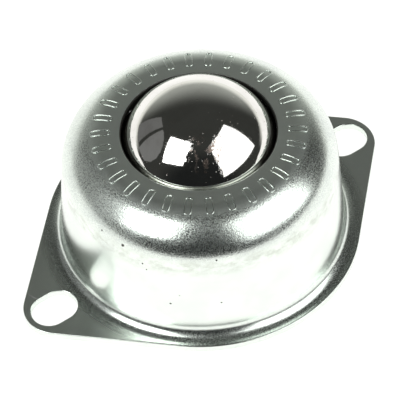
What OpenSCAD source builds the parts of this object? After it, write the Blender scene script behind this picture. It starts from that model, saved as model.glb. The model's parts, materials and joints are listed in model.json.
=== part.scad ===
// Ball transfer unit: a load ball that rolls on a bed of small balls, in a
// pressed steel housing whose two-slot flange bolts down to a table.
//
// Millimetres, +Z up. The origin is the centre of the mounting face, which is
// the underside of the flange, and the flange's long axis lies along X.

/* [Balls] */
// Diameter of the load ball
ball_d = 25.4; // [25:0.1:25.8]
// Diameter of one support ball
support_d = 3.175; // [3.1:0.025:3.2]
// Running gap on each side of a support ball
run_gap = 0.03; // [0.02:0.01:0.05]

/* [Bearing cup] */
// Wall thickness of the hardened cup
cup_t = 1.05; // [0.8:0.05:1.3]
// Height of the cup's lowest point above the mounting face
cup_lift = 0.1; // [0:0.05:0.4]

/* [Housing] */
// Thickness of the sheet that the housing is pressed from
sheet_t = 1.2; // [1:0.1:1.3]
// Diameter that the outside of the wall would have at the mounting face
wall_d = 45.3; // [45:0.1:45.8]
// Lean of the wall from upright, in degrees
wall_draft = 4; // [3:0.5:5]
// Height of the flat rim above the centre of the load ball
rim_over = 5.8; // [5.6:0.1:6.2]
// Outer radius of the shoulder between the wall and the rim
shoulder_r = 7; // [6.4:0.1:7.4]
// Radius of the bend between the wall and the flange
foot_r = 1.5; // [1.2:0.1:1.6]
// Gap all round between the ball and the underside of the lip
lip_gap = 0.15; // [0.1:0.05:0.3]
// Radius rolled on the upper edge of the opening
lip_edge_r = 0.3; // [0.1:0.05:0.4]

/* [Flange] */
// Width of the flange across its two round sides
flange_w = 50; // [49.6:0.2:54]
// Distance between the centres of the two end lobes
lobe_spacing = 55.7; // [55:0.1:58]
// Radius of each end lobe
lobe_r = 5.5; // [5:0.1:6.5]
// Distance between the centres of the two fixing slots
slot_spacing = 57.15; // [56.8:0.05:58]
// Width of a fixing slot
slot_w = 5.8; // [5:0.1:6.2]
// Overall length of a fixing slot
slot_l = 7.5; // [6.4:0.1:8]

/* [Base cap] */
// Thickness of the base cap's sheet
cap_t = 1.2; // [1:0.1:1.4]
// Height of the base cap's underside above the mounting face
cap_lift = 0.4; // [0.2:0.1:0.6]
// Height of the top of the base cap's turned-up wall
cap_h = 6.2; // [5.6:0.1:7]
// Outer radius of the base cap's bend
cap_bend_r = 2.2; // [2:0.1:2.6]

/* [Hidden] */
$fn = 96;

// Radii that follow from the balls, from the middle outwards
ball_r = ball_d / 2;
path_r = ball_r + run_gap + support_d / 2;
cup_in_r = ball_r + support_d + 2 * run_gap;
cup_out_r = cup_in_r + cup_t;

// Heights above the mounting face
ball_z = cup_lift + cup_out_r;
rim_z = ball_z + rim_over;
lip_z = rim_z - sheet_t;
foot_z = sheet_t + foot_r;
shoulder_z = rim_z - shoulder_r;

// The outside of the wall is a line at this distance from the origin, measured
// square to the wall, which leans by wall_draft
wall_off = wall_d / 2 * cos(wall_draft);

// Radius at which a circle of radius r, centred at height z, touches the wall
// line once that has been moved inwards by inset
function tangent_x(r, z, inset = 0) =
    (wall_off - inset - r - z * sin(wall_draft)) / cos(wall_draft);

shoulder_x = tangent_x(shoulder_r, shoulder_z);
foot_x = tangent_x(-foot_r, foot_z);
foot_lap = 0.4;
opening_r = sqrt(pow(ball_r, 2) - pow(lip_z - ball_z, 2)) + lip_gap;

// The cup's edge rises until it meets the inside of the shoulder
shoulder_in_r = shoulder_r - sheet_t;
cup_top_z = shoulder_z + sqrt(pow(shoulder_in_r, 2) - pow(cup_out_r - shoulder_x, 2));

// The cup rests on the upper edge of the base cap's hole
cap_top_z = cap_lift + cap_t;
cap_hole_r = sqrt(pow(cup_out_r, 2) - pow(ball_z - cap_top_z, 2));
cap_bend_z = cap_lift + cap_bend_r;
cap_bend_x = tangent_x(cap_bend_r, cap_bend_z, sheet_t);

// The rows of support balls lie on circles of latitude, from the bottom of the
// cup to just above the middle of the load ball
rows = 8;
row_reach = 91;
row_step = row_reach / (rows - 1);
row_gap = 0.02;

far = 60;
steel_bright = [0.75, 0.77, 0.76];
steel_hard = [0.52, 0.53, 0.54];
steel_cap = [0.66, 0.68, 0.67];
chrome = [0.86, 0.87, 0.88];
chrome_small = [0.8, 0.8, 0.83];

// Slice of a disc of radius r between two angles less than 180 apart
module pie(r, from, to) {
    reach = 2 * r;
    mid = (from + to) / 2;
    intersection() {
        circle(r);
        polygon([
            [0, 0],
            reach * [cos(from), sin(from)],
            reach * [cos(mid), sin(mid)],
            reach * [cos(to), sin(to)]
        ]);
    }
}

// Everything between the axis and the wall line moved inwards by inset, from
// height z_low up to z_high
module wall_side(inset, z_low, z_high) {
    polygon([
        [0, z_low],
        [tangent_x(0, z_low, inset), z_low],
        [tangent_x(0, z_high, inset), z_high],
        [0, z_high]
    ]);
}

// Filled half section of the drawn dome, with its skin moved inwards by inset
module dome_section(inset) {
    wall_side(inset, foot_z - (foot_r + sheet_t) * sin(wall_draft),
        shoulder_z + (shoulder_r - inset) * sin(wall_draft));
    translate([0, foot_z])
        square([shoulder_x, shoulder_z + shoulder_r - inset - foot_z]);
    translate([shoulder_x, shoulder_z])
        pie(shoulder_r - inset, 0, 90);
}

// What the roll takes off the upper edge of the opening, in section
module lip_edge_section() {
    translate([opening_r, rim_z - lip_edge_r]) difference() {
        square([lip_edge_r, far]);
        translate([lip_edge_r, 0]) circle(lip_edge_r, $fn = 32);
    }
}

// Half section of the bend that turns the wall out into the flange, with a
// short flat that runs on into the flange
module foot_section() {
    translate([foot_x, foot_z]) difference() {
        pie(foot_r + sheet_t, 180 + wall_draft, 270);
        circle(foot_r);
    }
    translate([foot_x, 0]) square([foot_lap, sheet_t]);
}

// Outline of the flange: a disc with a lobe at each end and straight flanks
// that run tangent to both
module flange_outline() {
    flank = acos((flange_w / 2 - lobe_r) / (lobe_spacing / 2));
    circle(d = flange_w);
    for (side = [0, 180]) rotate(side) {
        translate([lobe_spacing / 2, 0]) circle(lobe_r);
        polygon([
            flange_w / 2 * [cos(flank), sin(flank)],
            [lobe_spacing / 2, 0] + lobe_r * [cos(flank), sin(flank)],
            [lobe_spacing / 2, 0] + lobe_r * [cos(flank), -sin(flank)],
            flange_w / 2 * [cos(flank), -sin(flank)]
        ]);
    }
}

// One fixing slot, long side along X
module slot() {
    straight = slot_l - slot_w;
    for (side = [-1, 1])
        translate([side * straight / 2, 0]) circle(d = slot_w);
    square([straight, slot_w], center = true);
}

// Flange, wall, shoulder and rim, pressed from one sheet
module housing() {
    color(steel_bright) {
        rotate_extrude() {
            difference() {
                dome_section(0);
                dome_section(sheet_t);
                square([opening_r, far]);
                lip_edge_section();
            }
            foot_section();
        }
        linear_extrude(sheet_t) difference() {
            flange_outline();
            circle(foot_x);
            for (side = [-1, 1])
                translate([side * slot_spacing / 2, 0]) slot();
        }
    }
}

// Hardened bowl that the support balls run in, with a straight skirt that
// reaches up to the shoulder
module bearing_cup() {
    color(steel_hard) translate([0, 0, ball_z]) rotate_extrude() {
        difference() {
            pie(cup_out_r, -90, 0);
            circle(cup_in_r);
        }
        translate([cup_in_r, 0])
            square([cup_t, cup_top_z - ball_z]);
    }
}

// Filled half section of the base cap, with its skin moved inwards by inset.
// The slice for the bend runs on above the point where the wall leaves it, so
// that no gap is left between the two.
module cap_section(inset) {
    translate([0, cap_lift + inset])
        square([cap_bend_x, cap_h - cap_lift - inset]);
    translate([cap_bend_x, cap_bend_z])
        pie(cap_bend_r - inset, -90, 45);
    wall_side(sheet_t + inset, cap_bend_z + (cap_bend_r - inset) * sin(wall_draft), cap_h);
}

// Shallow cap pressed up into the mouth of the housing, which carries the cup
module base_cap() {
    color(steel_cap) rotate_extrude() difference() {
        cap_section(0);
        cap_section(cap_t);
        square([cap_hole_r, far]);
    }
}

// The ball that carries the goods
module load_ball() {
    color(chrome) translate([0, 0, ball_z]) sphere(ball_r);
}

// One circle of support balls, counted from the bottom of the cup
module support_ball_row(row) {
    angle = (row - 1) * row_step;
    row_r = path_r * sin(angle);
    half_pitch = support_d / 2 + row_gap;
    count = row == 1 ? 1 : floor(180 / asin(half_pitch / row_r));
    color(chrome_small)
        for (i = [0:count - 1])
            rotate([0, 0, 360 * i / count])
                translate([row_r, 0, ball_z - path_r * cos(angle)])
                    sphere(d = support_d, $fn = 32);
}

housing();
bearing_cup();
base_cap();
load_ball();
support_ball_row(1);  // support_ball_row_1
support_ball_row(2);  // support_ball_row_2
support_ball_row(3);  // support_ball_row_3
support_ball_row(4);  // support_ball_row_4
support_ball_row(5);  // support_ball_row_5
support_ball_row(6);  // support_ball_row_6
support_ball_row(7);  // support_ball_row_7
support_ball_row(8);  // support_ball_row_8
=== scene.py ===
# Looks of a ball transfer unit: a load ball on a bed of small balls, in a
# zinc-plated housing with a two-slot flange. Metres, +Z up, in the frame's axes.
import json
import math
import bmesh
import bpy
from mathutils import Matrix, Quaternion, Vector


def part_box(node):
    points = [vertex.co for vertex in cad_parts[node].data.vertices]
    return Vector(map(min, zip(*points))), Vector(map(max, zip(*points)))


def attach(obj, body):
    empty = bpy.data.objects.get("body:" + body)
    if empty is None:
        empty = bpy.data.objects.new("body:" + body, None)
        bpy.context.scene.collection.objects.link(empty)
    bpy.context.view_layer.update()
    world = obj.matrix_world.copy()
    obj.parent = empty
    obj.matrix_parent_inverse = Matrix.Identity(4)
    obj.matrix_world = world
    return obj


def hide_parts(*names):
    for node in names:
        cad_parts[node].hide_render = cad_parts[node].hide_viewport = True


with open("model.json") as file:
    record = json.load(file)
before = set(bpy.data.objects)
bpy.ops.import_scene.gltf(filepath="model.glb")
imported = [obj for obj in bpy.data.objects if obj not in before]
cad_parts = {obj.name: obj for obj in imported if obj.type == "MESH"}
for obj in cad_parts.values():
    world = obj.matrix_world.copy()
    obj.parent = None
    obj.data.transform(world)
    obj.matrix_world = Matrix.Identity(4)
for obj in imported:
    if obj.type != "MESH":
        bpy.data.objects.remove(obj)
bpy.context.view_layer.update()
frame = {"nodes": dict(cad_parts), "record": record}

MM = 0.001

# ---------------------------------------------------------------- sizes

# Read from the frame
ball_low, ball_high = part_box("load_ball")
shell_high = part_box("housing")[1]
cup_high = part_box("bearing_cup")[1]
cap_low, cap_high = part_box("base_cap")
slots = next(m for m in frame["record"]["mounts"] if m["name"] == "flange_slots")["dims"]

ball_r = (ball_high.z - ball_low.z) / 2
ball_z = (ball_high.z + ball_low.z) / 2
rim_z = shell_high.z
flange_r = shell_high.y
slot_x = slots["spacing_x_mm"] * MM / 2
slot_r = slots["hole_r_mm"] * MM
slot_straight = slots["slot_length_mm"] * MM / 2 - slot_r

# The housing's own dimensions
SHEET = 1.2 * MM
WALL_FOOT_R = 45.3 * MM / 2
WALL_DRAFT = 4
SHOULDER_R = 7 * MM
FOOT_R = 2 * MM
LOBE_R = 5.5 * MM
LIP_GAP = 0.15 * MM

# The shoulder turns over a little sooner than a true arc: its slope leads the
# arc's by up to LEAD_ANGLE degrees, over LEAD_RUN from the edge of the flat rim
LEAD_ANGLE = 5.5
LEAD_RUN = 5.6 * MM

foot_z = SHEET + FOOT_R
shoulder_z = rim_z - SHOULDER_R
lip_z = rim_z - SHEET
opening_r = math.sqrt(ball_r ** 2 - (lip_z - ball_z) ** 2) + LIP_GAP
lobe_x = shell_high.x - LOBE_R


def tangent_x(radius, height, inset=0.0):
    """Distance from the axis of a circle that touches the wall line, moved in by inset."""
    lean = math.radians(WALL_DRAFT)
    reach = WALL_FOOT_R * math.cos(lean) - inset - radius - height * math.sin(lean)
    return reach / math.cos(lean)


shoulder_x = tangent_x(SHOULDER_R, shoulder_z)
foot_x = tangent_x(-FOOT_R, foot_z)

# The bearing cup and the base cap
CUP_WALL = 1.05 * MM
CAP_SHEET = 1.2 * MM
CAP_BEND_R = 2.2 * MM
cup_r = cup_high.x
cap_bend_z = cap_low.z + CAP_BEND_R
cap_bend_x = tangent_x(CAP_BEND_R, cap_bend_z, SHEET)
cap_floor_z = cap_low.z + CAP_SHEET
cap_hole_r = math.sqrt(cup_r ** 2 - (ball_z - cap_floor_z) ** 2)

# ---------------------------------------------------------------- camera and stage

# Where the camera stands, seen from the point it aims at, and how it is tilted
VIEW_AZIMUTH = -33.922
VIEW_ELEVATION = 49.340
VIEW_ROLL = -2.842
VIEW_DISTANCE = 422.464 * MM
VIEW_LENS_MM = 243
SENSOR_WIDTH_MM = 36
CLIP_RANGE = (0.01, 20)

# The point it aims at: on the axis, then moved across its own picture
AIM_HEIGHT = 10 * MM
AIM_RIGHT = -0.322 * MM
AIM_UP = -2.238 * MM


def heading(azimuth, elevation):
    """Unit vector from the object outwards; azimuth 0 is towards -Y, and 90 towards +X."""
    a = math.radians(azimuth)
    e = math.radians(elevation)
    return Vector((math.sin(a) * math.cos(e), -math.cos(a) * math.cos(e), math.sin(e)))


def make_camera():
    """Camera that looks down on the unit from the front left."""
    back = heading(VIEW_AZIMUTH, VIEW_ELEVATION)
    level = (-back).to_track_quat("-Z", "Y")
    aim = Vector((0, 0, AIM_HEIGHT)) + level @ Vector((AIM_RIGHT, AIM_UP, 0))
    data = bpy.data.cameras.new("camera")
    data.sensor_width = SENSOR_WIDTH_MM
    data.lens = VIEW_LENS_MM
    data.clip_start, data.clip_end = CLIP_RANGE
    camera = bpy.data.objects.new("camera", data)
    camera.rotation_mode = "QUATERNION"
    camera.rotation_quaternion = level @ Quaternion((0, 0, 1), math.radians(VIEW_ROLL))
    camera.location = aim + back * VIEW_DISTANCE
    bpy.context.scene.collection.objects.link(camera)
    bpy.context.scene.camera = camera


# ---------------------------------------------------------------- node helpers


class Value:
    """A node's output socket, on which arithmetic adds Math nodes."""

    def __init__(self, nodes, socket):
        self.nodes = nodes
        self.socket = socket

    def maths(self, operation, *terms):
        inputs = dict(enumerate(terms))
        return self.nodes.add("ShaderNodeMath", {"operation": operation}, inputs)

    def __add__(self, other):
        return self.maths("ADD", self, other)

    def __radd__(self, other):
        return self.maths("ADD", other, self)

    def __sub__(self, other):
        return self.maths("SUBTRACT", self, other)

    def __rsub__(self, other):
        return self.maths("SUBTRACT", other, self)

    def __mul__(self, other):
        return self.maths("MULTIPLY", self, other)

    def __rmul__(self, other):
        return self.maths("MULTIPLY", other, self)

    def __truediv__(self, other):
        return self.maths("DIVIDE", self, other)

    def __pow__(self, other):
        return self.maths("POWER", self, other)

    def __abs__(self):
        return self.maths("ABSOLUTE", self)

    def least(self, other):
        return self.maths("MINIMUM", self, other)

    def most(self, other):
        return self.maths("MAXIMUM", self, other)

    def ramp(self, start, end):
        """0 at start, 1 at end, smooth between; start may be the larger."""
        settings = {"interpolation_type": "SMOOTHSTEP"}
        inputs = {"Value": self, "From Min": start, "From Max": end}
        if not isinstance(start, Value) and not isinstance(end, Value) and start > end:
            inputs = {"Value": self, "From Min": end, "From Max": start}
            return 1 - self.nodes.add("ShaderNodeMapRange", settings, inputs)
        return self.nodes.add("ShaderNodeMapRange", settings, inputs)


# The Mix node's sockets when it mixes colours
MIX_FACTOR = 0
MIX_A = 6
MIX_B = 7
MIX_RESULT = 2


class Nodes:
    """Adds nodes to one tree."""

    def __init__(self, tree):
        self.tree = tree
        tree.nodes.clear()

    def add(self, kind, settings=None, inputs=None, output=0):
        """Adds a node with its settings, then the values or links of its inputs by name or number."""
        node = self.tree.nodes.new(kind)
        for name, value in (settings or {}).items():
            setattr(node, name, value)
        for key, value in (inputs or {}).items():
            if isinstance(value, Value):
                self.tree.links.new(value.socket, node.inputs[key])
            else:
                node.inputs[key].default_value = value
        return Value(self, node.outputs[output]) if node.outputs else None

    def vector(self, operation, *terms, output=0):
        inputs = dict(enumerate(terms))
        return self.add("ShaderNodeVectorMath", {"operation": operation}, inputs, output)

    def dot(self, a, b):
        return self.vector("DOT_PRODUCT", a, b, output="Value")

    def split(self, vector):
        """The X, Y and Z of a vector, as three values."""
        node = self.add("ShaderNodeSeparateXYZ", None, {0: vector}).socket.node
        return [Value(self, out) for out in node.outputs]

    def blend(self, mask, low, high):
        """Colour low where mask is 0 and high where it is 1."""
        settings = {"data_type": "RGBA", "clamp_factor": True}
        low, high = [c if isinstance(c, Value) else (*c, 1) for c in (low, high)]
        inputs = {MIX_FACTOR: mask, MIX_A: low, MIX_B: high}
        return self.add("ShaderNodeMix", settings, inputs, MIX_RESULT)

    def noise(self, place, size, detail=2.0, roughness=0.5):
        """Cloudy value round 0.5, with features about size across."""
        inputs = {"Vector": place, "Scale": 1 / size, "Detail": detail, "Roughness": roughness}
        return self.add("ShaderNodeTexNoise", None, inputs)

    def bump(self, height, depth, under=None):
        """Normal of a surface that rises by depth where height is 1."""
        inputs = {"Height": height, "Distance": depth}
        if under is not None:
            inputs["Normal"] = under
        return self.add("ShaderNodeBump", None, inputs)


def any_of(*masks):
    """1 where any of the masks is 1."""
    total = masks[0]
    for mask in masks[1:]:
        total = total.most(mask)
    return total


# ---------------------------------------------------------------- light


def ray_is(nodes, *kinds):
    """1 for rays of any of those kinds."""
    node = nodes.add("ShaderNodeLightPath").socket.node
    return any_of(*[Value(nodes, node.outputs[f"Is {kind} Ray"]) for kind in kinds])


WHITE = (1, 1, 1)

# Colours of the room, which is seen in reflections alone
PALE = (1.0, 1.0, 0.95)
OVERHEAD = (0.040, 0.041, 0.038)
DARK_FRONT = (0.014, 0.015, 0.015)
BACK_WALL = (0.46, 0.475, 0.445)
GROUND = (0.5, 0.51, 0.5)

# Heights of the directions where the grey back wall has faded out and is full
BACK_WALL_TOP = 0.94
BACK_WALL_FOOT = 0.15

# Level of the even daylight, which reflections don't show
DAYLIGHT = 0.55

# (none, all) of each part of the room, in how squarely a direction points at the
# back wall: 1 straight at it, -1 straight away from it
HORIZON_HIGH_AT = (0.45, 0.97)
PALE_AT = (0.05, 0.5)
BACK_WALL_AT = (0.5, 0.95)
DARK_FRONT_AT = (-0.45, -0.85)

# The same in the height of the direction
GROUND_AT = (-0.35, -0.6)

# Height of the pale horizon's top and depth of its fade, at the sides, and what
# is added to them straight behind
PALE_TOP = -0.01
PALE_TOP_RISE = 0.04
PALE_FADE = 0.10
PALE_FADE_RISE = 0.11


def make_world():
    """White to the eye; in reflections a pale horizon behind, grey above it and dark round the front."""
    world = bpy.data.worlds.new("studio")
    bpy.context.scene.world = world
    world.use_nodes = True
    nodes = Nodes(world.node_tree)
    way = nodes.add("ShaderNodeTexCoord", None, None, "Generated")
    height = nodes.split(way)[2]
    behind = nodes.dot(way, tuple(-heading(VIEW_AZIMUTH, 0)))
    squarely = behind.ramp(*HORIZON_HIGH_AT)
    pale_top = PALE_TOP + PALE_TOP_RISE * squarely
    pale_fade = PALE_FADE + PALE_FADE_RISE * squarely
    pale = 1 - ((height - pale_top) / pale_fade).ramp(0, 1)
    pale = pale * behind.ramp(*PALE_AT)
    wall = ((BACK_WALL_TOP - height) / (BACK_WALL_TOP - BACK_WALL_FOOT)).most(0).least(1)
    room = nodes.blend(behind.ramp(*DARK_FRONT_AT), OVERHEAD, DARK_FRONT)
    room = nodes.blend(wall * behind.ramp(*BACK_WALL_AT), room, BACK_WALL)
    room = nodes.blend(pale, room, PALE)
    room = nodes.blend(height.ramp(*GROUND_AT), room, GROUND)
    seen = ray_is(nodes, "Camera", "Transmission")
    mirrored = ray_is(nodes, "Glossy")
    soft = nodes.add("ShaderNodeBackground", None, {"Color": (*WHITE, 1), "Strength": DAYLIGHT})
    around = nodes.add("ShaderNodeBackground", None, {"Color": room, "Strength": 1.0})
    plain = nodes.add("ShaderNodeBackground", None, {"Color": (*WHITE, 1), "Strength": 1.0})
    mixed = nodes.add("ShaderNodeMixShader", None, {0: mirrored, 1: soft, 2: around})
    mixed = nodes.add("ShaderNodeMixShader", None, {0: seen, 1: mixed, 2: plain})
    nodes.add("ShaderNodeOutputWorld", None, {"Surface": mixed})


# How far the floor reaches towards the camera and to the other three sides
FLOOR_FRONT = 0.10
FLOOR_REACH = 1.5

FLOOR_GLOW = 0.965
FLOOR_PAINT = (0.245, 0.225, 0.215)


def make_floor():
    """Pale table top under the unit, which keeps the unit's shadow."""
    mesh = bpy.data.meshes.new("floor")
    front = heading(VIEW_AZIMUTH, 0)
    side = Vector((0, 0, 1)).cross(front)
    corners = [
        front * FLOOR_FRONT - side * FLOOR_REACH,
        front * FLOOR_FRONT + side * FLOOR_REACH,
        -front * FLOOR_REACH + side * FLOOR_REACH,
        -front * FLOOR_REACH - side * FLOOR_REACH,
    ]
    mesh.from_pydata(corners, [], [(0, 1, 2, 3)])
    floor = bpy.data.objects.new("floor", mesh)
    bpy.context.scene.collection.objects.link(floor)
    material = bpy.data.materials.new("floor_paper")
    material.use_nodes = True
    nodes = Nodes(material.node_tree)
    under = nodes.add("ShaderNodeNewGeometry", None, None, "Backfacing")
    paper = nodes.add("ShaderNodeBsdfDiffuse", None, {"Color": (*FLOOR_PAINT, 1)})
    glow = nodes.add("ShaderNodeEmission", None, {"Color": (*WHITE, 1), "Strength": FLOOR_GLOW})
    lit = nodes.add("ShaderNodeAddShader", None, {0: paper, 1: glow})
    seen = ray_is(nodes, "Camera", "Glossy", "Transmission")
    top = nodes.add("ShaderNodeMixShader", None, {0: seen, 1: paper, 2: lit})
    clear = nodes.add("ShaderNodeBsdfTransparent")
    whole = nodes.add("ShaderNodeMixShader", None, {0: under, 1: top, 2: clear})
    nodes.add("ShaderNodeOutputMaterial", None, {"Surface": whole})
    mesh.materials.append(material)


LIGHT_DISTANCE = 1.4

# Level of each lamp, and its corners as (azimuth from the camera, elevation)
LAMPS = {
    "right_softbox": (1.9, [(31, 11), (91, 10), (100, 57), (25, 55)]),
    "left_softbox": (4.2, [(-60, 22), (-29, 31), (-24, 63), (-80, 52)]),
    "grey_card_near": (
        0.20,
        [
            (-101, 3), (-84, 3), (-76, 9), (-71, 19), (-71, 29),
            (-76, 37), (-84, 42), (-94, 44), (-101, 43),
        ],
    ),
    "grey_card_far": (0.16, [(-125, 3), (-106, 3), (-106, 43), (-124, 37)]),
}


def make_lamp(name, level, corners):
    """Flat lamp with its corners in those directions from the ball, hidden from the camera."""
    mesh = bpy.data.meshes.new(name)
    centre = Vector((0, 0, ball_z))
    points = [centre + heading(VIEW_AZIMUTH + a, e) * LIGHT_DISTANCE for a, e in corners]
    mesh.from_pydata(points, [], [tuple(range(len(points)))])
    lamp = bpy.data.objects.new(name, mesh)
    bpy.context.scene.collection.objects.link(lamp)
    material = bpy.data.materials.new(name)
    material.use_nodes = True
    nodes = Nodes(material.node_tree)
    glow = nodes.add("ShaderNodeEmission", None, {"Color": (*WHITE, 1), "Strength": level})
    nodes.add("ShaderNodeOutputMaterial", None, {"Surface": glow})
    mesh.materials.append(material)
    lamp.visible_camera = False


def make_lights():
    """Two softboxes, and two dim cards that show as grey windows in the ball."""
    for name, (level, corners) in LAMPS.items():
        make_lamp(name, level, corners)


# ---------------------------------------------------------------- shapes


def arc(centre, radius, start, end, steps):
    """Points along an arc from one angle to another, in degrees."""
    points = []
    for i in range(steps + 1):
        a = math.radians(start + (end - start) * i / steps)
        points.append((centre[0] + radius * math.cos(a), centre[1] + radius * math.sin(a)))
    return points


def add_object(name, mesh, *materials):
    """A new object in the scene, with any materials that its mesh doesn't have yet."""
    made = bpy.data.objects.new(name, mesh)
    bpy.context.scene.collection.objects.link(made)
    for material in materials:
        mesh.materials.append(material)
    return made


# Radius of the circle that a section is swept along, and its number of steps
HUB = 1 * MM
SPIN_STEPS = 288

# Points this close are one
SAME_PLACE = 0.002 * MM


def spin_tree():
    """Geometry nodes that sweep a section once round the Z axis."""
    tree = bpy.data.node_groups.new("spin", "GeometryNodeTree")
    face = tree.interface
    face.new_socket("Section", in_out="INPUT", socket_type="NodeSocketGeometry")
    face.new_socket("Steps", in_out="INPUT", socket_type="NodeSocketInt")
    face.new_socket("Hub", in_out="INPUT", socket_type="NodeSocketFloat")
    face.new_socket("Finish", in_out="INPUT", socket_type="NodeSocketMaterial")
    face.new_socket("Geometry", in_out="OUTPUT", socket_type="NodeSocketGeometry")
    nodes = Nodes(tree)
    given = nodes.add("NodeGroupInput").socket.node
    section, steps, hub, finish = [Value(nodes, given.outputs[i]) for i in range(4)]
    back = nodes.add("ShaderNodeCombineXYZ", None, {"X": 0 - hub})
    section = nodes.add("GeometryNodeTransform", None, {"Geometry": section, "Translation": back})
    section = nodes.add("GeometryNodeMeshToCurve", None, {0: section})
    ring = nodes.add("GeometryNodeCurvePrimitiveCircle", None, {"Resolution": steps, "Radius": hub})
    solid = nodes.add("GeometryNodeCurveToMesh", None, {"Curve": ring, "Profile Curve": section})
    solid = nodes.add("GeometryNodeMergeByDistance", None, {"Geometry": solid, "Distance": SAME_PLACE})
    solid = nodes.add("GeometryNodeRealizeInstances", None, {0: solid})
    solid = nodes.add("GeometryNodeSetMaterial", None, {"Geometry": solid, "Material": finish})
    nodes.add("NodeGroupOutput", None, {0: solid})
    return tree


def run_tree(made, tree, **inputs):
    """Runs geometry nodes on an object and returns the plain mesh that comes out."""
    modifier = made.modifiers.new("shape", "NODES")
    modifier.node_group = tree
    for item in tree.interface.items_tree:
        if item.in_out == "INPUT" and item.name in inputs:
            modifier[item.identifier] = inputs[item.name]
    evaluated = made.evaluated_get(bpy.context.evaluated_depsgraph_get())
    mesh = bpy.data.meshes.new_from_object(evaluated)
    made.modifiers.remove(modifier)
    return mesh


def spin(name, section, finish, closed):
    """Mesh of a section of (radius, height) points swept round the Z axis."""
    mesh = bpy.data.meshes.new(name)
    count = len(section)
    edges = [(i, i + 1) for i in range(count - 1)]
    if closed:
        edges.append((count - 1, 0))
    # the sweep lays a profile's Y axis along -Z
    mesh.from_pydata([(x, -z, 0) for x, z in section], edges, [])
    tool = add_object(name, mesh)
    swept = run_tree(tool, SPIN, Steps=SPIN_STEPS, Hub=HUB, Finish=finish)
    bpy.data.objects.remove(tool)
    swept.name = name
    return swept


SPIN = spin_tree()


def finish_mesh(mesh):
    """Turns the faces outwards and shades them smooth."""
    bm = bmesh.new()
    bm.from_mesh(mesh)
    bmesh.ops.recalc_face_normals(bm, faces=bm.faces)
    bm.to_mesh(mesh)
    bm.free()
    mesh.shade_smooth()


# ---------------------------------------------------------------- housing

# Radii of the rolled edges: round the flange and its slots, underneath, and round
# the opening
TOP_ROLL = 0.18 * MM
UNDER_ROLL = 0.07 * MM
OPENING_ROLL = 0.3 * MM

# Width of the narrow flats that keep the shading even beside a bend
SUPPORT_LAP = 0.10 * MM
FOOT_LAP = 0.05 * MM


def flange_outline(inset):
    """Outline of the flange, moved in by inset: a disc with a lobe at each end."""
    flank = math.degrees(math.acos((flange_r - LOBE_R) / lobe_x))
    disc = flange_r - inset
    lobe = LOBE_R - inset
    points = arc((lobe_x, 0), lobe, -flank, flank, 28)
    points += arc((0, 0), disc, flank, 180 - flank, 72)
    points += arc((-lobe_x, 0), lobe, 180 - flank, 180 + flank, 28)
    points += arc((0, 0), disc, 180 + flank, 360 - flank, 72)
    return points


def slot_outline(side, inset):
    """Outline of a fixing slot, moved into the metal by inset."""
    radius = slot_r + inset
    far_end = side * slot_x + slot_straight
    near_end = side * slot_x - slot_straight
    return arc((far_end, 0), radius, -90, 90, 24) + arc((near_end, 0), radius, 90, 270, 24)


def sheared_edge():
    """(inset, height) down a sheared edge: rolled over on top, nearly sharp underneath."""
    points = [(TOP_ROLL + SUPPORT_LAP, SHEET)]
    points += arc((TOP_ROLL, SHEET - TOP_ROLL), TOP_ROLL, 90, 180, 4)
    points += arc((UNDER_ROLL, UNDER_ROLL), UNDER_ROLL, 180, 270, 2)
    points.append((UNDER_ROLL + SUPPORT_LAP, 0))
    return points


def cut_round(bm, outline):
    """Builds the sheared edge round an outline; returns its top and bottom loops of edges."""
    loops = []
    for inset, height in sheared_edge():
        loops.append([bm.verts.new((x, y, height)) for x, y in outline(inset)])
    for upper, lower in zip(loops, loops[1:]):
        for i, vert in enumerate(upper):
            j = (i + 1) % len(upper)
            bm.faces.new((vert, upper[j], lower[j], lower[i]))
    ends = (loops[0], loops[-1])
    return [[bm.edges.get((v, loop[(i + 1) % len(loop)])) for i, v in enumerate(loop)] for loop in ends]


SHOULDER_STEPS = 86


def shoulder_curve():
    """(radius, height) up the outside of the shoulder, from the wall to the edge of the rim."""
    turn = math.radians(90 - WALL_DRAFT)
    step = SHOULDER_R * turn / SHOULDER_STEPS
    curve = [(0, rim_z)]
    for i in range(SHOULDER_STEPS):
        run = (i + 0.5) * step
        part = min(run / LEAD_RUN, 1)
        slope = run / SHOULDER_R + math.radians(LEAD_ANGLE) * 4 * part * (1 - part)
        reach, height = curve[-1]
        curve.append((reach + step * math.cos(slope), height - step * math.sin(slope)))
    shift = tangent_x(0, curve[-1][1]) - curve[-1][0]
    return [(reach + shift, height) for reach, height in reversed(curve)]


shoulder_points = shoulder_curve()
rim_edge_r = shoulder_points[-1][0]


def dome_section():
    """(radius, height) from the flange's top, over the wall and the rim, and back underneath."""
    points = [(foot_x + FOOT_LAP, SHEET)]
    points += arc((foot_x, foot_z), FOOT_R, 270, 180 + WALL_DRAFT, 14)
    points += shoulder_points
    points.append((opening_r + OPENING_ROLL + SUPPORT_LAP, rim_z))
    points += arc((opening_r + OPENING_ROLL, rim_z - OPENING_ROLL), OPENING_ROLL, 90, 180, 8)
    points += arc((opening_r + UNDER_ROLL, lip_z + UNDER_ROLL), UNDER_ROLL, 180, 270, 2)
    points.append((opening_r + UNDER_ROLL + SUPPORT_LAP, lip_z))
    points += arc((shoulder_x, shoulder_z), SHOULDER_R - SHEET, 90, WALL_DRAFT, 16)
    points += arc((foot_x, foot_z), FOOT_R + SHEET, 180 + WALL_DRAFT, 270, 10)
    points.append((foot_x + FOOT_LAP, 0))
    return points


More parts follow.
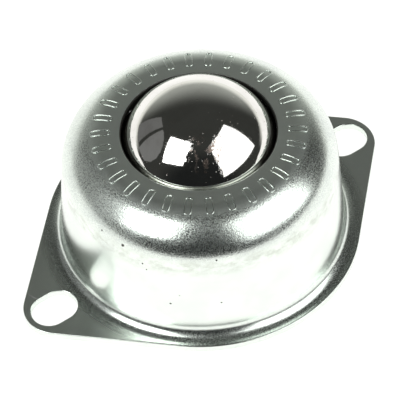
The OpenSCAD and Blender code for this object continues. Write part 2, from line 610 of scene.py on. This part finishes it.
def make_housing(finish):
    """Flange, wall, shoulder and rim as one pressed sheet."""
    bm = bmesh.new()
    bm.from_mesh(spin("dome", dome_section(), finish, False))
    ends = [e for e in bm.edges if e.is_boundary]
    top = [e for e in ends if e.verts[0].co.z > SHEET / 2]
    bottom = [e for e in ends if e.verts[0].co.z < SHEET / 2]
    outlines = [flange_outline]
    outlines += [lambda inset, side=side: slot_outline(side, inset) for side in (-1, 1)]
    for outline in outlines:
        upper, lower = cut_round(bm, outline)
        top += upper
        bottom += lower
    for rings in (top, bottom):
        bmesh.ops.triangle_fill(bm, use_beauty=True, edges=rings)
    mesh = bpy.data.meshes.new("pressed_housing")
    bm.to_mesh(mesh)
    bm.free()
    finish_mesh(mesh)
    piece = add_object("pressed_housing", mesh, finish)
    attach(piece, "housing_assembly")
    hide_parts("housing")


# ---------------------------------------------------------------- stamped ring

MARK_COUNT = 30
MARK_INNER_R = 13.7 * MM
MARK_OUTER_R = 16.6 * MM
MARK_WIDTH = 1.0 * MM
MARK_CORNER_SHARE = 0.3
MARK_BEAD_R = 0.10 * MM
BEAD_SIDES = 8


def ring_tree():
    """Geometry nodes that lay a ring of outlined bars on the rim and shoulder."""
    tree = bpy.data.node_groups.new("stamped_ring", "GeometryNodeTree")
    face = tree.interface
    face.new_socket("Geometry", in_out="INPUT", socket_type="NodeSocketGeometry")
    face.new_socket("Count", in_out="INPUT", socket_type="NodeSocketInt")
    sizes = ["Inner", "Outer", "Width", "Bead", "Rim Edge", "Bend", "Height"]
    for name in sizes:
        face.new_socket(name, in_out="INPUT", socket_type="NodeSocketFloat")
    face.new_socket("Finish", in_out="INPUT", socket_type="NodeSocketMaterial")
    face.new_socket("Geometry", in_out="OUTPUT", socket_type="NodeSocketGeometry")
    nodes = Nodes(tree)
    given = nodes.add("NodeGroupInput").socket.node
    count, inner, outer, width, bead, rim_edge, bend, height, finish = [
        Value(nodes, given.outputs[i]) for i in range(1, 10)
    ]
    bar = nodes.add("GeometryNodeCurvePrimitiveQuadrilateral", None, {0: outer - inner, 1: width})
    bar = nodes.add(
        "GeometryNodeFilletCurve",
        {"mode": "POLY"},
        {"Curve": bar, "Count": 3, "Radius": width * MARK_CORNER_SHARE},
    )
    bar = nodes.add("GeometryNodeResampleCurve", {"mode": "LENGTH"}, {"Curve": bar, "Length": bead * 2})
    middle = nodes.add("ShaderNodeCombineXYZ", None, {"X": (inner + outer) * 0.5})
    bar = nodes.add("GeometryNodeTransform", None, {"Geometry": bar, "Translation": middle})
    stations = nodes.add("GeometryNodePoints", None, {"Count": count})
    turn = nodes.add("GeometryNodeInputIndex") * (2 * math.pi) / count
    turn = nodes.add("ShaderNodeCombineXYZ", None, {"Z": turn})
    ring = nodes.add(
        "GeometryNodeInstanceOnPoints", None, {"Points": stations, "Instance": bar, "Rotation": turn}
    )
    ring = nodes.add("GeometryNodeRealizeInstances", None, {0: ring})
    place = nodes.add("GeometryNodeInputPosition")
    reach = nodes.vector("LENGTH", place, output="Value")
    past = (reach - rim_edge).most(0)
    drop = bend - (bend * bend - past * past) ** 0.5
    lift = nodes.add("ShaderNodeCombineXYZ", None, {"Z": height - drop})
    ring = nodes.add("GeometryNodeSetPosition", None, {"Geometry": ring, "Offset": lift})
    section = {"Resolution": BEAD_SIDES, "Radius": bead}
    section = nodes.add("GeometryNodeCurvePrimitiveCircle", None, section)
    beads = nodes.add("GeometryNodeCurveToMesh", None, {"Curve": ring, "Profile Curve": section})
    beads = nodes.add("GeometryNodeRealizeInstances", None, {0: beads})
    beads = nodes.add("GeometryNodeSetMaterial", None, {"Geometry": beads, "Material": finish})
    nodes.add("NodeGroupOutput", None, {0: beads})
    return tree


def make_ring(finish):
    """Ring of plain outlined bars raised on the rim, laid down over the start of the shoulder."""
    past = MARK_OUTER_R - rim_edge_r
    drop = rim_z - next(height for reach, height in shoulder_points if reach < MARK_OUTER_R)
    # the arc that starts at the rim's edge and passes through the bars' outer ends
    bend_r = (past ** 2 + drop ** 2) / (2 * drop)
    tool = add_object("ring_tool", bpy.data.meshes.new("ring_tool"))
    mesh = run_tree(
        tool,
        ring_tree(),
        Count=MARK_COUNT,
        Inner=MARK_INNER_R,
        Outer=MARK_OUTER_R,
        Width=MARK_WIDTH,
        Bead=MARK_BEAD_R,
        **{"Rim Edge": rim_edge_r},
        Bend=bend_r,
        Height=rim_z,
        Finish=finish,
    )
    bpy.data.objects.remove(tool)
    finish_mesh(mesh)
    piece = add_object("stamped_ring", mesh)
    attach(piece, "housing_assembly")


# ---------------------------------------------------------------- inside pieces


def make_cup(finish):
    """Hardened bowl that the support balls run in."""
    inner = cup_r - CUP_WALL
    edge = 0.15 * MM
    points = arc((0, ball_z), cup_r, -90, 0, 40)
    points += arc((cup_r - edge, cup_high.z - edge), edge, 0, 90, 3)
    points += arc((inner + edge, cup_high.z - edge), edge, 90, 180, 3)
    points += arc((0, ball_z), inner, 0, -90, 40)
    mesh = spin("hardened_cup", points, finish, False)
    finish_mesh(mesh)
    piece = add_object("hardened_cup", mesh)
    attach(piece, "housing_assembly")
    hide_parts("bearing_cup")


def make_base_cap(finish):
    """Shallow cap pressed up into the mouth of the housing, with a round hole that seats the cup."""
    edge = 0.12 * MM
    top = cap_high.z
    outer = tangent_x(0, top, SHEET)
    inner = tangent_x(0, top, SHEET + CAP_SHEET)
    points = arc((cap_hole_r + edge, cap_low.z + edge), edge, 180, 270, 3)
    points += arc((cap_bend_x, cap_bend_z), CAP_BEND_R, -90, WALL_DRAFT, 14)
    points += arc((outer - edge, top - edge), edge, 0, 90, 3)
    points += arc((inner + edge, top - edge), edge, 90, 180, 3)
    points += arc((cap_bend_x, cap_bend_z), CAP_BEND_R - CAP_SHEET, WALL_DRAFT, -90, 10)
    points += [(cap_hole_r, cap_floor_z)]
    mesh = spin("pressed_base_cap", points, finish, True)
    finish_mesh(mesh)
    piece = add_object("pressed_base_cap", mesh)
    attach(piece, "housing_assembly")
    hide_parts("base_cap")


BALL_CUTS = 64


def make_ball(finish):
    """Ground and polished load ball, meshed as a cube blown up to a sphere."""
    bm = bmesh.new()
    bmesh.ops.create_cube(bm, size=2)
    bmesh.ops.subdivide_edges(bm, edges=bm.edges, cuts=BALL_CUTS - 1, use_grid_fill=True)
    for vert in bm.verts:
        even = Vector([math.tan(c * math.pi / 4) for c in vert.co])
        vert.co = even.normalized() * ball_r
        vert.co.z += ball_z
    mesh = bpy.data.meshes.new("polished_ball")
    bm.to_mesh(mesh)
    bm.free()
    finish_mesh(mesh)
    piece = add_object("polished_ball", mesh, finish)
    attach(piece, "load_ball")
    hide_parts("load_ball")


# ---------------------------------------------------------------- finishes


def start_finish(name):
    """A new material's nodes, and the place on the piece."""
    material = bpy.data.materials.new(name)
    material.use_nodes = True
    nodes = Nodes(material.node_tree)
    place = nodes.add("ShaderNodeTexCoord", None, None, "Object")
    return material, nodes, place


def metal(nodes, colour, roughness, normal):
    """Bare metal with the given colour, roughness and normal."""
    inputs = {"Base Color": colour, "Metallic": 1.0, "Roughness": roughness, "Normal": normal}
    shader = nodes.add("ShaderNodeBsdfPrincipled", None, inputs)
    nodes.add("ShaderNodeOutputMaterial", None, {"Surface": shader})


def specks(nodes, place, spacing, radius, share):
    """1 on small round specks of uneven size, one to a cell in about that share of the cells."""
    inputs = {"Vector": place, "Scale": 1 / spacing}
    distance = nodes.add("ShaderNodeTexVoronoi", None, inputs)
    cell = nodes.split(nodes.add("ShaderNodeTexVoronoi", None, inputs, "Color"))
    chosen = (cell[0] + share).ramp(0.99, 1.01)
    reach = radius / spacing * (0.35 + 0.9 * cell[1])
    return (distance / reach).ramp(1.0, 0.5) * chosen


def spot(nodes, place, at, reach):
    """1 near one point, with a ragged edge."""
    distance = nodes.vector("DISTANCE", place, tuple(at), output="Value")
    ragged = reach * (0.5 + nodes.noise(place, reach * 0.7, 1.0))
    return (distance / ragged).ramp(1.0, 0.6)


def stroke(nodes, place, start, end, width):
    """1 on a thin line between two points at one height."""
    along = (end - start).normalized()
    across = Vector((-along.y, along.x, 0))
    offset = nodes.vector("SUBTRACT", place, tuple(start))
    run = nodes.dot(offset, tuple(along)) / (end - start).length
    away = abs(nodes.dot(offset, tuple(across)))
    up = abs(nodes.split(offset)[2])
    line = away.ramp(width, width * 0.4) * up.ramp(width * 4, width * 2)
    return line * run.ramp(-0.02, 0.1) * run.ramp(1.02, 0.9)


def from_axis(nodes, place):
    """Distance from the Z axis and height above the mounting face."""
    x, y, z = nodes.split(place)
    return (x * x + y * y) ** 0.5, z


# Colours of the zinc plate: clean, dulled, in fine flecks, in the band of painted shade
# just under the shoulder, on specks of dirt, and in the painted shade round the edge of
# the opening where it meets the ball
ZINC = (0.875, 0.945, 0.875)
ZINC_DULL = (0.82, 0.885, 0.83)
PEPPER = (0.36, 0.41, 0.41)
SHADE_BAND = (0.56, 0.61, 0.53)
DIRT = (0.10, 0.10, 0.09)
LIP_SHADE = (0.09, 0.09, 0.083)

# (place, reach) of the dark specks on the wall, of which the first is the largest
WALL_SPECKS = [
    (Vector((-19.95, -7.65, 17.33)) * MM, 0.32 * MM),
    (Vector((-16.57, -14.64, 7.71)) * MM, 0.20 * MM),
    (Vector((-10.47, -19.45, 8.07)) * MM, 0.17 * MM),
    (Vector((-20.96, -3.61, 17.75)) * MM, 0.20 * MM),
    (Vector((-18.66, -10.85, 15.20)) * MM, 0.18 * MM),
    (Vector((-18.40, -11.43, 14.14)) * MM, 0.15 * MM),
    (Vector((-10.48, -18.62, 17.33)) * MM, 0.20 * MM),
    (Vector((-22.08, -4.38, 1.93)) * MM, 0.17 * MM),
]

# The ends of a scratch on one lobe, and its width
SCRATCH = (Vector((-30.29, 4.67, 1.20)) * MM, Vector((-29.73, 2.98, 1.20)) * MM)
SCRATCH_WIDTH = 0.07 * MM

# Sizes of what the plate's noises draw
GRAIN_SIZE = 0.26 * MM
FLECK_SIZE = 0.14 * MM
SHADE_BAND_SIZE = 2.2 * MM
CLOUD_SIZE = 5 * MM
WAVE_SIZE = 9 * MM

# Heights of the orange peel and of the sheet's slow waves
GRAIN_DEPTH = 0.02 * MM
WAVE_DEPTH = 0.06 * MM

# How far the painted shade under the shoulder reaches above and below the height where the wall ends
SHADE_BAND_SPREAD = 2.5 * MM

# (none, all) of each part of the housing, in height and in distance from the axis
SHOULDER_HEIGHTS = (shoulder_z + 0.5 * MM, shoulder_z + 2.8 * MM)
SHOULDER_RADII = (15 * MM, 17.5 * MM)
RIM_HEIGHTS = (rim_z - 0.8 * MM, rim_z - 0.1 * MM)
FLANGE_HEIGHTS = (1.4 * SHEET, 1.05 * SHEET)
FLANGE_END_RADII = (24.8 * MM, 26.5 * MM)
WALL_FOOT_HEIGHTS = (5 * MM, 3.5 * MM)
BEND_HEIGHTS = (foot_z + 0.5 * MM, SHEET)
BEND_RADII = (25.5 * MM, 24.3 * MM)
LIP_HEIGHTS = (lip_z - 0.5 * MM, lip_z)
LIP_RADII = (opening_r + 0.24 * MM, opening_r + 0.12 * MM)

# (none, all) of the painted shade on the edge of the opening, which is left off at the
# front, and of the side of the shoulder that is painted lighter, in distance from the
# axis along a heading
LIP_SHADE_REACH = (9 * MM, 6.5 * MM)
BRIGHT_SIDE_REACH = (9 * MM, 18 * MM)
BRIGHT_SIDE_AZIMUTH = VIEW_AZIMUTH - 80

# Share of the dark flecks' colour on the shoulder, what is taken from it on the side that
# is painted lighter, and the share on the bend at the foot, which makes painted shade in
# the crease there
PEPPER_SHOULDER = 0.46
PEPPER_BRIGHT_SIDE = 0.10
PEPPER_BEND_SHADE = 0.5

# Spread of roughness between the dull and the bright flecks, in the same places
SALT_SHOULDER = 0.16
SALT_BRIGHT_SIDE = 0.10
SALT_BEND = 0.12

# What each part of the housing and each mark adds to the roughness
ROUGH_RIM = 0.16
ROUGH_FLANGE = 0.04
ROUGH_FLANGE_END = 0.08
ROUGH_SHOULDER = 0.05
ROUGH_BRIGHT_SIDE = 0.10
ROUGH_WALL_FOOT = 0.03
ROUGH_CLOUD = 0.05
ROUGH_SPECK = 0.3
ROUGH_SCRATCH = 0.3
ROUGH_LIP_SHADE = 0.25


def zinc_finish(name, dullness):
    """Bright zinc plate: grained like orange peel on the drawn shoulder, smoother elsewhere."""
    material, nodes, place = start_finish(name)
    radius, height = from_axis(nodes, place)

    # where on the housing, 1 inside and 0 outside
    on_shoulder = height.ramp(*SHOULDER_HEIGHTS) * radius.ramp(*SHOULDER_RADII)
    on_rim = height.ramp(*RIM_HEIGHTS)
    on_flange = height.ramp(*FLANGE_HEIGHTS)
    on_flange_end = radius.ramp(*FLANGE_END_RADII)
    on_wall_foot = height.ramp(*WALL_FOOT_HEIGHTS) * (1 - on_flange)
    on_bend = height.ramp(*BEND_HEIGHTS) * radius.ramp(*BEND_RADII)
    on_lip = radius.ramp(*LIP_RADII) * height.ramp(*LIP_HEIGHTS)
    under_shoulder = height.ramp(shoulder_z - SHADE_BAND_SPREAD, shoulder_z)
    under_shoulder = under_shoulder * height.ramp(shoulder_z + SHADE_BAND_SPREAD, shoulder_z)

    # what the surface carries
    grain = nodes.noise(place, GRAIN_SIZE, 1.0, 0.5)
    salt = nodes.noise(nodes.vector("ADD", place, (0.02, 0, 0)), FLECK_SIZE, 1.0, 0.6)
    salt = salt.ramp(0.36, 0.64)
    pepper = nodes.noise(nodes.vector("ADD", place, (0.01, 0, 0)), FLECK_SIZE, 1.0, 0.6)
    pepper = pepper.ramp(0.42, 0.64)
    cloud = nodes.noise(place, CLOUD_SIZE, 3.0)
    wave = nodes.noise(place, WAVE_SIZE, 1.0, 0.4)
    # a darker, greyer band of painted shade round the wall just under the shoulder, broken up by noise
    shade_band = nodes.noise(nodes.vector("MULTIPLY", place, (1, 1, 1.6)), SHADE_BAND_SIZE, 4.0, 0.65)
    shade_band = shade_band.ramp(0.36, 0.72) * under_shoulder
    dots = specks(nodes, place, 2.2 * MM, 0.10 * MM, 0.22)
    dots = any_of(dots, *[spot(nodes, place, at, reach) for at, reach in WALL_SPECKS])
    scratch = stroke(nodes, place, *SCRATCH, SCRATCH_WIDTH)
    # the shoulder's side towards the camera's left, painted lighter with fewer dark flecks, and rougher
    painted_bright_side = nodes.dot(place, tuple(heading(BRIGHT_SIDE_AZIMUTH, 0))).ramp(*BRIGHT_SIDE_REACH)
    # painted shade on the edge of the opening, in the gap against the ball, but not at the front
    lip_shade = on_lip * nodes.dot(place, tuple(heading(VIEW_AZIMUTH, 0))).ramp(*LIP_SHADE_REACH)

    # dark flecks: grain on the shoulder; on the bend at the foot they are also painted shade in the
    # crease
    peppered = on_shoulder * (PEPPER_SHOULDER - PEPPER_BRIGHT_SIDE * painted_bright_side)
    peppered = any_of(peppered, on_bend * PEPPER_BEND_SHADE)
    colour = nodes.blend(cloud.ramp(0.35, 0.7), ZINC, ZINC_DULL)
    colour = nodes.blend(0.8 * shade_band, colour, SHADE_BAND)
    colour = nodes.blend(pepper * peppered, colour, PEPPER)
    colour = nodes.blend(dots, colour, DIRT)
    colour = nodes.blend(lip_shade, colour, LIP_SHADE)
    colour = nodes.blend(scratch, colour, WHITE)

    salted = (SALT_SHOULDER + SALT_BRIGHT_SIDE * painted_bright_side) * on_shoulder + SALT_BEND * on_bend
    roughness = dullness + ROUGH_RIM * on_rim
    roughness = roughness + (ROUGH_FLANGE + ROUGH_FLANGE_END * on_flange_end) * on_flange
    roughness = roughness + ROUGH_CLOUD * (cloud - 0.5) + ROUGH_SPECK * dots
    roughness = roughness + ROUGH_SCRATCH * scratch + ROUGH_LIP_SHADE * lip_shade
    roughness = roughness + (ROUGH_SHOULDER + ROUGH_BRIGHT_SIDE * painted_bright_side) * on_shoulder
    roughness = roughness + ROUGH_WALL_FOOT * on_wall_foot + (salt - 0.5) * salted

    normal = nodes.bump(wave, WAVE_DEPTH)
    normal = nodes.bump(grain * (0.10 + 0.90 * on_shoulder), GRAIN_DEPTH, normal)
    metal(nodes, colour, roughness, normal)
    return material


BALL_STEEL = (0.80, 0.80, 0.765)
BALL_WORN = (0.70, 0.69, 0.655)
RUST = (0.22, 0.12, 0.07)

# Direction of the smeared patch from the ball's centre, and how squarely a
# direction points at it where it starts and where it is full
SMEAR_WAY = Vector((-0.30, -0.60, 0.74)).normalized()
SMEAR_REACH = (0.955, 0.985)

# Spacing and radius of the pits, the share of cells that hold one, and what the
# smear adds to that share
PIT_SPACING = 0.5 * MM
PIT_R = 0.10 * MM
PIT_SHARE = 0.14
SMEAR_PITS = 0.5

# Heights on the ball, of which the pits lie below the surface
BALL_RIPPLE = 0.0012 * MM
SMEAR_DEPTH = 0.02 * MM
PIT_DEPTH = -0.010 * MM


def ball_finish():
    """Polished ball steel with fine pits, and one smeared patch with a few rust stains."""
    material, nodes, place = start_finish("polished_ball_steel")
    around = nodes.vector("SUBTRACT", place, (0, 0, ball_z))
    way = nodes.vector("NORMALIZE", around)
    broken = nodes.noise(place, 1.6 * MM, 4.0, 0.6)
    smear = (nodes.dot(way, tuple(SMEAR_WAY)) + 0.10 * (broken - 0.5)).ramp(*SMEAR_REACH)
    cloud = nodes.noise(place, 4 * MM, 4.0, 0.6)
    pits = specks(nodes, place, PIT_SPACING, PIT_R, PIT_SHARE + SMEAR_PITS * smear)
    stain = nodes.noise(place, 1.1 * MM, 3.0, 0.6).ramp(0.53, 0.62) * smear
    colour = nodes.blend(cloud.ramp(0.4, 0.75), BALL_STEEL, BALL_WORN)
    colour = nodes.blend(any_of(stain * 0.7, pits * 0.6), colour, RUST)
    roughness = 0.05 + 0.05 * cloud.ramp(0.5, 0.8) + 0.20 * stain + 0.15 * pits
    normal = nodes.bump(nodes.noise(place, 0.35 * MM, 2.0), BALL_RIPPLE)
    normal = nodes.bump(broken * smear, SMEAR_DEPTH, normal)
    normal = nodes.bump(pits, PIT_DEPTH, normal)
    metal(nodes, colour, roughness, normal)
    return material


# The two tones of the cup, of the base cap and of the support balls
CUP_STEEL = [(0.42, 0.42, 0.43), (0.54, 0.54, 0.55)]
CAP_ZINC = [(0.70, 0.72, 0.70), (0.60, 0.63, 0.62)]
SMALL_STEEL = [(0.66, 0.66, 0.66), (0.56, 0.56, 0.56)]


def cup_finish():
    """Hardened steel, satin and a little oily."""
    material, nodes, place = start_finish("hardened_steel")
    cloud = nodes.noise(place, 3 * MM, 3.0)
    colour = nodes.blend(cloud.ramp(0.3, 0.7), *CUP_STEEL)
    normal = nodes.bump(nodes.noise(place, 0.3 * MM, 2.0), 0.004 * MM)
    metal(nodes, colour, 0.26 + 0.12 * cloud, normal)
    return material


def cap_finish():
    """Zinc plate as on the housing, duller and more scuffed."""
    material, nodes, place = start_finish("dull_zinc_plate")
    cloud = nodes.noise(place, 4 * MM, 4.0)
    grain = nodes.noise(place, 0.35 * MM, 2.0)
    dots = specks(nodes, place, 1.8 * MM, 0.10 * MM, 0.25)
    colour = nodes.blend(cloud.ramp(0.3, 0.7), *CAP_ZINC)
    colour = nodes.blend(dots, colour, DIRT)
    metal(nodes, colour, 0.26 + 0.10 * cloud, nodes.bump(grain, 0.02 * MM))
    return material


def support_ball_finish():
    """Small polished balls."""
    material, nodes, place = start_finish("small_ball_steel")
    cloud = nodes.noise(place, 2 * MM, 2.0)
    colour = nodes.blend(cloud.ramp(0.3, 0.7), *SMALL_STEEL)
    normal = nodes.bump(nodes.noise(place, 0.3 * MM, 2.0), 0.001 * MM)
    metal(nodes, colour, 0.07 + 0.06 * cloud, normal)
    return material


def dress_support_balls(finish):
    """Gives the support balls, which keep their meshes from the frame, their finish."""
    for name, node in frame["nodes"].items():
        if name.startswith("support_ball_row"):
            node.data.materials.clear()
            node.data.materials.append(finish)


# ---------------------------------------------------------------- the scene

bpy.context.scene.view_settings.view_transform = "Standard"
make_camera()
make_world()
make_floor()
make_lights()
make_housing(zinc_finish("bright_zinc_plate", 0.20))
make_ring(zinc_finish("burnished_zinc_plate", 0.02))
make_cup(cup_finish())
make_base_cap(cap_finish())
make_ball(ball_finish())
dress_support_balls(support_ball_finish())
